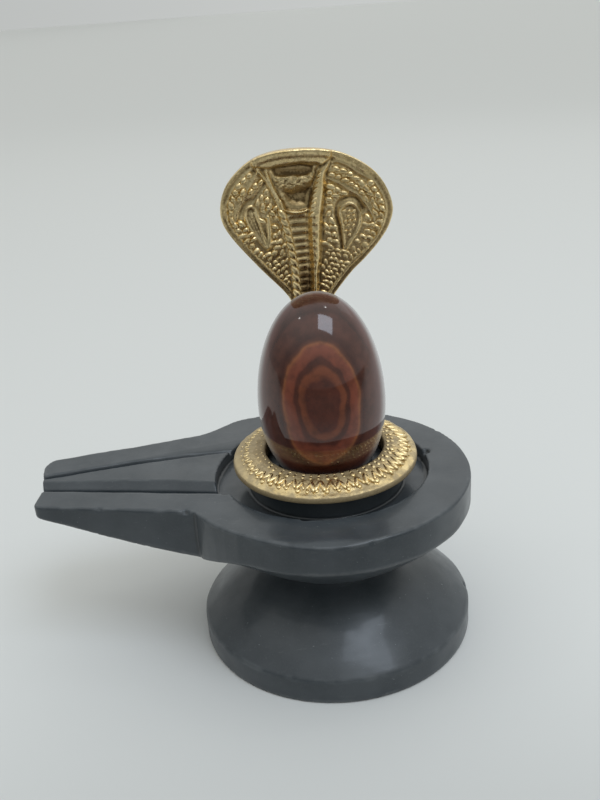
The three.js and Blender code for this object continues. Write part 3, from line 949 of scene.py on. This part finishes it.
def hood_front(u, v):
    """How far the front stands out of the middle of the leaf, in millimetres."""
    edge, visor, ridge, throat, muzzle, scoop, pocket = [
        outline_distance(u, v, outline)
        for outline in (HOOD_OUTLINE, VISOR, RIDGE, THROAT, MUZZLE, SCOOP, POCKET)]
    height = 0.62 + 0.24 * rise(-1.7, -1.2, edge)
    height -= 0.2 * hill(edge + 0.8, 0.4) * rise(0, 0.6, visor)
    for paths, tall, width in RAISED_LINES:
        height += tall * sum(bank(u, v, path, width) for path in paths)
    height += 0.25 * highest_bank(u, v, LEFT_FEATHERS, 0.17)
    height -= 0.25 * rise(0.5, -0.6, throat) * rise(31, 28, v)
    height += (0.3 + 0.15 * rise(4, 9, v)) * highest_bank(u, v, BARS, 0.66)
    height += rise(0.25, -0.8, ridge) * (1.05 - 0.35 * rise(24, 30, v))
    height -= 0.22 * hill(ridge - 0.45, 0.25)
    height += 0.4 * rise(0.3, -0.8, muzzle)
    height += 0.13 * ripple((u, 1.8 * v, 0 * u), 0.8, 11) * rise(0.2, -0.4, muzzle)
    height -= 0.9 * rise(0.1, -1.5, scoop) + 0.5 * rise(0.1, -0.5, pocket)
    height += 1.5 * rise(0.15, -0.35, visor) * hill(u - 0.3, 9.0)
    on_hood = rise(-4, 1, v)
    return height * on_hood + STEM_FRONT * (1 - on_hood)


visor_middle = hood_front(*np.array([[0.0], [31.5]]))[0]
print("the visor stands out by", round(visor_middle, 2), "mm")

# %% [markdown]
# ## Casting the hood
# The leaf is thin and bent: it stands up straight at the stem and comes forward at the top.
# So the net is laid over a flat leaf first, with the relief in front and one thick rib
# behind, and its points are bent afterwards. The step is a fifth of a millimetre, since the
# thinnest lines are only twice that wide. Then each point gets its mark: deep in grooves
# and round the scales, where old brass goes brown, and light on what hands can reach, with
# painted shade in the pocket under the visor, in the scoop, at the bottom of the throat and
# low on the right wing.

# %% Cast the hood
HOOD_STEP = 0.21
HOOD_SPANS = ((-17.5, 21), (-32, 34.6), (-4.2, 5))  # of u, v and w
HOOD_EDGE_ROUND = 0.6
STEM_END = -31.8


def hood_middle(u, v):
    """How far the middle of the leaf comes forward, and curls at its sides."""
    return -17.2 + 0.0045 * np.maximum(0, v + 13) ** 2 + 0.008 * u * u


def hood_back(u, v):
    return 0.85 + 2.4 * hill(u - 0.3, 3.4) * (1 - rise(24, 33, v))


def hood_to_world(u, v, w):
    w = w + hood_middle(u, v)
    return (HOOD_PLACE + u[:, None] * HOOD_RIGHT + v[:, None] * HOOD_UP
            + w[:, None] * HOOD_FRONT)


def net_normals(points, faces):
    corner = points[faces]
    across = np.cross(corner[:, 2] - corner[:, 0], corner[:, 3] - corner[:, 1])
    normals = gathered(faces.ravel(), np.repeat(across, 4, axis=0), len(points))
    return normals / np.linalg.norm(normals, axis=1, keepdims=True)


def hood_browning_and_shade(u, v, w, stands_out):
    """How brown each point of the hood has gone, from 0 to 1, with painted shade in the pocket,
    the scoop, the bottom of the throat and low on the right wing.
    """
    edge, visor, scoop, pocket, throat = [
        outline_distance(u, v, outline)
        for outline in (HOOD_OUTLINE, VISOR, SCOOP, POCKET, THROAT)]
    on_front = w > hood_front(u, v) - 0.4
    ground = rise(-1.5, -2.0, edge) * on_front * (v > 0)
    rim = rise(-1.6, -1.2, edge) * (v > -2)
    band = rise(-1.4, -1.1, edge) * rise(-0.2, -0.5, edge) * (v > -2) * on_front
    visor = rise(0.2, -0.3, visor)
    throat = rise(0.3, -0.3, throat) * on_front
    hollow = 0.75 * rise(0.0, -0.11, stands_out)
    hollow = hollow + 0.22 * ground * rise(0.95, 0.7, w) + 0.04 * rim + 0.12 * visor
    hollow = hollow + 0.3 * band * (1 - visor)
    # Painted shade in the pocket under the visor and in the scoop.
    hollow = hollow + 0.3 * rise(0.2, -0.5, np.minimum(scoop, pocket)) * on_front
    # Lighter on the upper bars of the throat; painted shade along the middle of its lower part.
    hollow *= 1 - 0.5 * throat * rise(5, 8, v) * rise(20, 18.5, v)
    hollow = hollow + 0.5 * throat * rise(8, 3, v) * hill(u - 0.1, 0.9)
    # Painted shade low on the right wing.
    hollow = hollow + 0.22 * ground * hill(u - 6.2, 2.2) * rise(17, 11, v)
    return np.clip(hollow + 0.4 * (w < 0) * (1 - on_front), 0, 1)


def cast_hood():
    axes = [np.arange(*span, HOOD_STEP) for span in HOOD_SPANS]
    u, v = np.meshgrid(axes[0], axes[1], indexing="ij")
    flat = outline_distance(u, v, HOOD_OUTLINE)[:, :, None]
    front, back = hood_front(u, v)[:, :, None], hood_back(u, v)[:, :, None]
    w = axes[2][None, None, :]
    field = soft_meet(np.maximum(w - front, -w - back), flat + 0 * w, HOOD_EDGE_ROUND)
    field = np.maximum(field, (STEM_END - v)[:, :, None])
    points, faces = surface_net(field, axes)
    world = hood_to_world(*points.T)
    world = 0.6 * world + 0.4 * neighbour_mean(world, faces)
    stands_out = sharpness(world, faces, net_normals(world, faces), rounds=8)
    # The hollow mark holds the brown patina and the painted shade.
    marks = {"hollow": hood_browning_and_shade(*points.T, stands_out)}
    return add_piece("Naga_hood", world, faces, AGED_BRASS, marks)


hood_piece = cast_hood()

# %% [markdown]
# ## The scales on the hood
# The wings are covered with small raised scales that were cut into the mould one by one.
# They are all one shape, so a small tree of Geometry Nodes makes it once and lays it on
# points: each point carries the way its scale lies, the way it faces and its size. The
# same recipe serves for every row of small rounded things on the naga. The export drops
# instances, so they are made real and the result is kept as a plain mesh.

# %% A recipe for laying small rounded shapes on points
def scales_recipe():
    """A Geometry Nodes tree with named inputs, and the identifier of each input."""
    group = bpy.data.node_groups.new("Scales on points", "GeometryNodeTree")
    keys = {}
    for name, kind in (("Geometry", "Geometry"), ("Sides", "Int"), ("Rings", "Int"),
                       ("Proportions", "Vector"), ("Material", "Material")):
        socket = group.interface.new_socket(name, in_out="INPUT",
                                            socket_type="NodeSocket" + kind)
        keys[name] = socket.identifier
    group.interface.new_socket("Geometry", in_out="OUTPUT", socket_type="NodeSocketGeometry")
    node, link = group.nodes.new, group.links.new
    start, end = node("NodeGroupInput"), node("NodeGroupOutput")
    scale = node("GeometryNodeMeshUVSphere")
    scale.inputs["Radius"].default_value = 0.5 * MM
    link(start.outputs["Sides"], scale.inputs["Segments"])
    link(start.outputs["Rings"], scale.inputs["Rings"])
    marks = {}
    for mark in ("along", "facing", "size"):
        reader = node("GeometryNodeInputNamedAttribute")
        reader.data_type = "FLOAT_VECTOR"
        reader.inputs["Name"].default_value = mark
        marks[mark] = reader.outputs["Attribute"]
    turn = node("FunctionNodeAxesToRotation")
    turn.primary_axis, turn.secondary_axis = "Z", "X"
    link(marks["facing"], turn.inputs["Primary Axis"])
    link(marks["along"], turn.inputs["Secondary Axis"])
    stretch = node("ShaderNodeVectorMath")
    stretch.operation = "MULTIPLY"
    link(marks["size"], stretch.inputs[0])
    link(start.outputs["Proportions"], stretch.inputs[1])
    lay = node("GeometryNodeInstanceOnPoints")
    link(start.outputs["Geometry"], lay.inputs["Points"])
    link(scale.outputs["Mesh"], lay.inputs["Instance"])
    link(turn.outputs["Rotation"], lay.inputs["Rotation"])
    link(stretch.outputs["Vector"], lay.inputs["Scale"])
    finish = node("GeometryNodeSetMaterial")
    link(start.outputs["Material"], finish.inputs["Material"])
    last = lay.outputs["Instances"]
    for step in (node("GeometryNodeRealizeInstances"), node("GeometryNodeSetShadeSmooth"),
                 finish):
        link(last, step.inputs["Geometry"])
        last = step.outputs["Geometry"]
    link(last, end.inputs["Geometry"])
    return group, keys


SCALES_RECIPE = scales_recipe()


def lay_scales(name, places, along, facing, size, proportions, sides=8, rings=5):
    """Lays one rounded shape on each place and keeps the result as a plain mesh."""
    mesh = bpy.data.meshes.new(name + "_points")
    mesh.from_pydata((places * MM).tolist(), [], [])
    for mark, values in (("along", along), ("facing", facing), ("size", size)):
        attribute = mesh.attributes.new(mark, "FLOAT_VECTOR", "POINT")
        attribute.data.foreach_set("vector", np.asarray(values, np.float32).ravel())
    piece = new_object(name, mesh)
    modifier = piece.modifiers.new("Scales", "NODES")
    modifier.node_group, keys = SCALES_RECIPE
    for socket, value in (("Sides", sides), ("Rings", rings), ("Proportions", proportions),
                          ("Material", AGED_BRASS)):
        modifier[keys[socket]] = value
    ready = piece.evaluated_get(bpy.context.evaluated_depsgraph_get())
    made = bpy.data.meshes.new_from_object(ready)
    piece.modifiers.clear()
    piece.data = made
    print(f"{name}: {len(places)} shapes, {len(made.polygons)} faces")
    return piece


print("the recipe has", len(SCALES_RECIPE[0].nodes), "nodes")

# %% [markdown]
# ## Rows of scales
# The scales stand in rows that follow the rim. A rule can lay them: walk along the outline
# at a set distance inside it, put down a scale every so often, and leave out the places
# where a line, the throat or a medallion is. Where the outline bends too tightly for a row,
# its places come closer to the rim than they should, and those are dropped.

# %% Find room for rows of scales
def stops_on(path, first, pitch, spare=0.0):
    """Every column of a path, read at an even pitch along its first two."""
    steps = np.linalg.norm(np.diff(path[:, :2], axis=0), axis=1)
    walked = np.concatenate([[0], np.cumsum(steps)])
    stops = np.arange(first, walked[-1] - spare, pitch)
    return [np.interp(stops, walked, column) for column in path.T]


def row_inside(outline, inset, pitch, first):
    """Places along a closed outline, moved inwards, with the direction of the row."""
    ahead = np.roll(outline, -1, 0) - np.roll(outline, 1, 0)
    ahead /= np.linalg.norm(ahead, axis=1, keepdims=True)
    inner = outline + inset * np.stack([-ahead[:, 1], ahead[:, 0]], 1)
    ring = np.hstack([inner, ahead])
    u, v, ahead_u, ahead_v = np.vstack([ring, ring[:1]]).T
    path = np.column_stack([u, v, np.unwrap(np.arctan2(ahead_v, ahead_u))])
    u, v, turn = stops_on(path, first, pitch)
    keep = np.abs(outline_distance(u, v, outline) + inset) < 0.25
    return u[keep], v[keep], turn[keep]


ROOM_ROUND_FIELDS = [(THROAT, 0.9), (RIDGE, 0.75), (VISOR, 0.5), (POCKET, 0.9),
                     (RIGHT_DROP, 0.65), (LEFT_DROP, 0.65)]
ROOM_BESIDE_LINES = [(RIGHT_GROOVE, 0.75), (RIGHT_ARC, 0.6), (LEFT_BAR, 0.75),
                     (LEFT_CORD, 1.2), (LEFT_CORD_LINES[0], 0.7), (RIGHT_STRIP, 0.6),
                     (LEFT_ARC, 0.55), (LEFT_ARC_GROOVE, 0.55), (RIM_LINES[0], 0.45),
                     (RIM_LINES[1], 0.45)]


def free_of_drawing(u, v):
    """True where a scale has room between the lines of the hood."""
    clear = (v > -1) & (outline_distance(u, v, HOOD_OUTLINE) < -1.9)
    for outline, room in ROOM_ROUND_FIELDS:
        clear &= outline_distance(u, v, outline) > room
    for path, room in ROOM_BESIDE_LINES:
        clear &= path_distance(u, v, path) > room
    return clear


first_row = row_inside(HOOD_OUTLINE, 2.25, 1.5, 0.0)
print(free_of_drawing(*first_row[:2]).sum(), "scales have room in the row next to the rim")

# %% [markdown]
# ## The scales of the hood
# High on the wings the scales are long and lie along their row. Further down they turn to
# stand across it, and at the bottom they are also smaller and less even, as a hand gets
# when the space runs out. Each one sits a little askew and has its own length, width and
# height, from a fixed seed, so the wings look struck one by one and still come out the
# same each time.

# %% Lay the scales of the hood
FIRST_ROW = 2.25  # from the outline to the middle of the first row
LONG_ABOVE = 10.5  # the height above which the scales are long
LONG_SCALES = (1.30, 1.5, 1.7)  # from row to row, from scale to scale, and the size
SMALL_SCALES = (1.2, 1.2, 1.2)


def scale_rows(is_long):
    """The long scales of the upper wings, or the small ones below them."""
    step, pitch, size = LONG_SCALES if is_long else SMALL_SCALES
    for row, inset in enumerate(np.arange(FIRST_ROW, 15, step)):
        u, v, turn = row_inside(HOOD_OUTLINE, inset, pitch, 0.5 * pitch * (row % 2))
        keep = free_of_drawing(u, v) & ((v > LONG_ABOVE) == is_long)
        u, v, turn = u[keep], v[keep], turn[keep]
        turn = turn + math.radians(12) + math.radians(88) * rise(19, 15, v)
        yield u, v, turn, np.full(u.shape, size)


def medallion_grains():
    """Small grains in rows that fill the right medallion."""
    places = np.array([(u, v) for v in np.arange(10.8, 19.6, 1.1)
                       for u in np.arange(9.3 + 0.3 * (round(v / 1.1) % 2), 13, 1.05)])
    u, v = places[outline_distance(*places.T, RIGHT_DROP) < -0.6].T
    return u, v, np.full(u.shape, 0.9), np.full(u.shape, 0.95)


def on_front(u, v, lift, turn):
    """Places a little above the front, and the direction in which each shape lies."""
    places = hood_to_world(u, v, hood_front(u, v) + lift)
    return places, np.cos(turn)[:, None] * HOOD_RIGHT + np.sin(turn)[:, None] * HOOD_UP


def hood_scales():
    random = np.random.default_rng(7)
    rows = [*scale_rows(True), *scale_rows(False), medallion_grains()]
    u, v, turn, size = [np.concatenate(column) for column in zip(*rows)]
    upper = rise(9, 17, v)
    u += random.normal(0, 0.16 - 0.08 * upper)
    v += random.normal(0, 0.16 - 0.08 * upper)
    turn += random.normal(0, 0.5 - 0.3 * upper)
    places, along = on_front(u, v, 0.06, turn)
    tilt = 0.36 - 0.009 * (v + 13) + 0.2 * upper + random.normal(0, 0.1, u.shape)
    facing = HOOD_FRONT - (0.016 * u)[:, None] * HOOD_RIGHT + tilt[:, None] * HOOD_UP
    size = size[:, None] * random.uniform((0.75, 0.75, 0.6), (1.2, 1.1, 1.1), (len(u), 3))
    size[:, 2] *= 0.75 + 0.5 * upper
    return lay_scales("Naga_hood_scales", places, along, facing, size, (1.3, 0.86, 0.6))


scales_piece = hood_scales()

# %% [markdown]
# ## The cord and the notches
# A twisted cord runs down the left side of the throat: slanting lumps, one after another,
# each overlapping the next. The upper part of the broad ridge has fine notches along its
# inner side. Both are rows of the same rounded shape, stretched and turned, so the recipe
# for the scales lays them too.

# %% Lay the cord and the notches
def lay_row(name, path, stops, lift, slant, proportions, **detail):
    """Lays equal shapes along a path on the hood, all turned by the same slant."""
    u, v = stops_on(path, *stops)
    places, along = on_front(u, v, lift, np.full(u.shape, math.radians(slant)))
    facing = np.repeat(HOOD_FRONT[None], len(u), axis=0)
    return lay_scales(name, places, along, facing, np.ones((len(u), 3)), proportions, **detail)


cord_piece = lay_row("Naga_hood_cord", LEFT_CORD, (0.6, 1.9), 0.05, 118, (3.0, 1.7, 1.8),
                     sides=12, rings=8)
NOTCHED_SIDE = RIDGE_INNER[RIDGE_INNER[:, 1] > 18] + np.array([0.45, 0])
beading_piece = lay_row("Naga_hood_beading", NOTCHED_SIDE, (1.0, 1.1, 0.5), 0.0, 35,
                        (1.7, 0.75, 0.6))

# %% [markdown]
# ## The coil
# The coil was cast as a low ring whose top slopes a little outwards to a smooth lip. The
# ring is turned: one section is carried round in three hundred steps, and its top is
# dented a little, since no casting is true. It is marked browner on its lower part, a
# little on its top and more towards the egg, and with dust where it has settled: on its
# outer wall, round the egg, and on top towards the spout.

# %% Turn the coil
COIL = {"x": -0.6, "y": 0.3, "z": 43.6, "lift": 0.024}
COIL_PROFILE = np.vstack([
    [(13.3, -1.95), (19.7, -1.95)],
    curve((19.7, -1.95), (20.25, -1.9), (20.3, -1.3), steps=4),
    curve((20.3, -1.3), (20.4, -0.5), (20.15, -0.1), steps=4),
    curve((20.15, -0.1), (20.0, 0.18), (19.6, 0.26), steps=4),
    [(19.3, 0.32), (19.0, 0.44), (18.6, 0.66), (18.1, 0.92), (17.6, 1.15), (17.0, 1.38),
     (16.4, 1.55), (15.8, 1.68), (15.2, 1.77), (14.7, 1.8)],
    curve((14.7, 1.8), (13.6, 1.95), (13.2, 1.6), steps=5),
    curve((13.2, 1.6), (12.95, 1.2), (13.0, 0.4), steps=4),
    [(13.05, -1.2), (13.15, -1.8)],
])
DENTS = {"size": 2.2, "depth": 0.045}
WORN_SIDE = 2.9  # the direction of the spout, in radians round the coil


def from_worn_side(turn):
    """The angle from the worn side, at most half a turn either way."""
    return np.angle(np.exp(1j * (turn - WORN_SIDE)))


def coil_faces(columns, count):
    faces = []
    for i in range(columns):
        j = (i + 1) % columns
        for k in range(count):
            m = (k + 1) % count
            faces.append((i * count + k, j * count + k, j * count + m, i * count + m))
    return faces


def turn_coil(columns=300):
    turn = np.linspace(0, 2 * math.pi, columns, endpoint=False)[:, None]
    across, up = COIL_PROFILE.T
    x, y = across * np.cos(turn), across * np.sin(turn)
    points = np.stack([COIL["x"] + x, COIL["y"] + y,
                       COIL["z"] + up + COIL["lift"] * rise(-0.6, 0.2, up) * y], axis=2)
    dent = ripple(tuple(points.reshape(-1, 3).T), DENTS["size"], 21).reshape(x.shape)
    points[..., 2] += DENTS["depth"] * dent * (up > -1.2)
    near_egg = rise(16, 14.5, across)
    hollow = np.where(up < -0.3, 0.4, np.where(up > 0.5, 0.28, 0.0) + 0.3 * near_egg)
    settled = np.maximum(0.75 * hill(from_worn_side(turn), 0.8), 0.6 * near_egg)
    dust = np.where(up < -0.1, 0.75, settled)
    return add_piece("Naga_coil", points.reshape(-1, 3), coil_faces(columns, len(up)),
                     DUSTY_BRASS, {"hollow": np.tile(hollow, columns), "dust": dust.ravel()})


coil_piece = turn_coil()

# %% [markdown]
# ## The marks on the coil
# The top of the coil stands for the snake's skin. It carries a ring of strokes that lean
# left and right in turn and so make a zigzag, a round grain in each point of the zigzag,
# and two rows of small grains nearer the egg. They are worn down on the spout's side.

# %% Press the marks into the coil
COIL_TOP = COIL_PROFILE[6:-4]  # from the lip's side over the top to the inner edge
COIL_TOP = COIL_TOP[np.argsort(COIL_TOP[:, 0])]
ZIGZAG_MIDDLE = 17.45
MARK_RINGS = [  # radius, count, length outwards, width, height, slant to either side
    (17.35, 108, 3.5, 1.0, 0.72, 16), (18.45, 54, 1.6, 1.3, 0.55, 0),
    (15.2, 54, 1.3, 0.9, 0.34, 0), (14.1, 54, 1.0, 0.8, 0.26, 0)]


def coil_marks():
    random = np.random.default_rng(12)
    places, along, facing, size = [], [], [], []
    for radius, count, length, width, height, slant in MARK_RINGS:
        number = np.arange(count)
        lean = math.radians(slant) * np.where(number % 2, 1, -1)
        turn = 2 * math.pi * number / count + (radius - ZIGZAG_MIDDLE) * np.tan(lean) / radius
        turn += random.normal(0, 0.10 / radius, count)
        out = radius + random.normal(0, 0.10, count)
        x, y = out * np.cos(turn), out * np.sin(turn)
        z = COIL["z"] + np.interp(out, *COIL_TOP.T) + COIL["lift"] * y
        places.append(np.stack([COIL["x"] + x, COIL["y"] + y, z], 1))
        way = turn + lean
        along.append(np.stack([np.cos(way), np.sin(way), 0 * way - 0.25], 1))
        facing.append(np.stack([0.25 * np.cos(turn), 0.25 * np.sin(turn), 0 * turn + 1], 1))
        worn = 1 - 0.6 * hill(from_worn_side(turn), 0.9)
        grown = (random.uniform(0.68, 1.15, count) * worn)[:, None]
        size.append(grown * np.array([length, width, height]))
    return lay_scales("Naga_coil_marks", np.vstack(places), np.vstack(along),
                      np.vstack(facing), np.vstack(size), (1, 1, 1))


marks_piece = coil_marks()
for piece in (hood_piece, scales_piece, cord_piece, beading_piece, coil_piece, marks_piece):
    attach(piece, "root")
    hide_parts("naga")

# %% [markdown]
# ## The floor
# The floor is plain and pale where the object stands. Polished stone and brass mirror the
# floor in front of them, so painted shade darkens it there, out of the picture, to stand
# for a dim room, and the relief stays readable. It is far wider than the picture and is
# painted a trace darker to the left, so that its far edge melts into the room behind it.

# %% Lay the floor
FLOOR_HALF = 90  # metres
PALE_FLOOR, PAINTED_SHADE_FLOOR = (0.685, 0.69, 0.675), (0.19, 0.195, 0.19)
PAINTED_SHADE_OVER = (5, 200)  # how far in front of the foot's middle
DIMS_OVER = (-6000, 2000)  # how far to the right of it


def plain_floor():
    shader = Shader("Pale floor")
    to_front = shader.dot(shader.millimetres, (0.0, -1.0, 0.0))
    to_right = shader.dot(shader.millimetres, (1.0, 0.0, 0.0))
    # Painted shade: darker in front of the object, out of the picture, and a trace darker to the
    # left.
    colour = shader.over(PALE_FLOOR, to_front, *PAINTED_SHADE_OVER, 1.0, PAINTED_SHADE_FLOOR)
    colour = shader.maths("SCALE", colour, vector=True,
                          Scale=shader.between(to_right, *DIMS_OVER, 0.90, 1.0))
    return shader.finish(colour, 0.8, ior=1.3)


floor_mesh = bpy.data.meshes.new("Floor")
floor_mesh.from_pydata([(FLOOR_HALF * x, FLOOR_HALF * y, 0)
                        for x, y in ((-1, -1), (1, -1), (1, 1), (-1, 1))], [], [(0, 1, 2, 3)])
floor_mesh.materials.append(plain_floor())
new_object("Floor", floor_mesh)

# %% [markdown]
# ## The lamps
# One large soft window high on the right gives the long highlight on the egg and on the
# foot. Two small lamps give the pin-sharp glints beside it, and a long pale wall behind
# lays a soft sheen over the plate. Each is an area light that looks at the stone, so it is
# placed by its direction and distance.

# %% Hang the lamps
LAMPS = [  # name; width, height and distance in metres; azimuth, elevation, roll; watts; colour
    ("Window", 0.42, 0.36, 0.8, 33, 60, -38, 1.9, (0.76, 0.86, 1.0)),
    ("Small lamp", 0.05, 0.05, 1.0, 111, 69, 0, 0.09, (1.0, 1.0, 1.0)),
    ("Far lamp", 0.05, 0.05, 1.0, -88, 55, 0, 0.07, (1.0, 1.0, 1.0)),
    ("Pale wall", 1.1, 0.42, 0.9, 156, 34, 0, 0.38, (1.0, 1.0, 1.0)),
]
AIM = Vector((0, 0, 0.05))


def softbox(name, width, height, distance, azimuth, elevation, roll, watts, colour):
    """An area light aimed at the stone; azimuth is measured from the front to the right."""
    light = bpy.data.lights.new(name, "AREA")
    light.shape = "RECTANGLE"
    light.size, light.size_y = width, height
    light.energy, light.color = watts, colour
    lamp = new_object(name, light)
    az, el = math.radians(azimuth), math.radians(elevation)
    away = Vector((math.sin(az) * math.cos(el), -math.cos(az) * math.cos(el), math.sin(el)))
    turn = Matrix.Rotation(math.radians(roll), 4, away)
    lamp.location = away * distance + AIM
    lamp.rotation_euler = (turn @ away.to_track_quat("Z", "Y").to_matrix().to_4x4()).to_euler()


for lamp in LAMPS:
    softbox(*lamp)
print(len(LAMPS), "lamps give", round(sum(lamp[7] for lamp in LAMPS), 2), "watts")

# %% [markdown]
# ## The room
# The rest of the light is the room: bright overhead, and dimmer towards the horizon and
# the front. Brass and polished stone show little but what they mirror, so the dim front is
# what makes their relief readable. The world's strength is a smooth step on the height of
# the direction looked in, and starts from a horizon that is brighter behind and right.

# %% Light the room
def soft_room():
    world = bpy.data.worlds.new("Room")
    world.use_nodes = True
    room = Nodes(world.node_tree)
    direction = room.add("ShaderNodeTexCoord").outputs["Generated"]
    horizon = room.maths("ADD", room.dot(direction, (0.16, 0.13, 0.0)), 0.435)
    background = room.tree.nodes["Background"]
    room.feed(background.inputs["Color"], (0.97, 1.0, 0.985, 1))
    room.feed(background.inputs["Strength"],
              room.between(room.dot(direction, (0, 0, 1)), 0.05, 0.95, horizon, 0.94))
    print("the room has", len(room.tree.nodes), "nodes")
    return world


bpy.context.scene.world = soft_room()
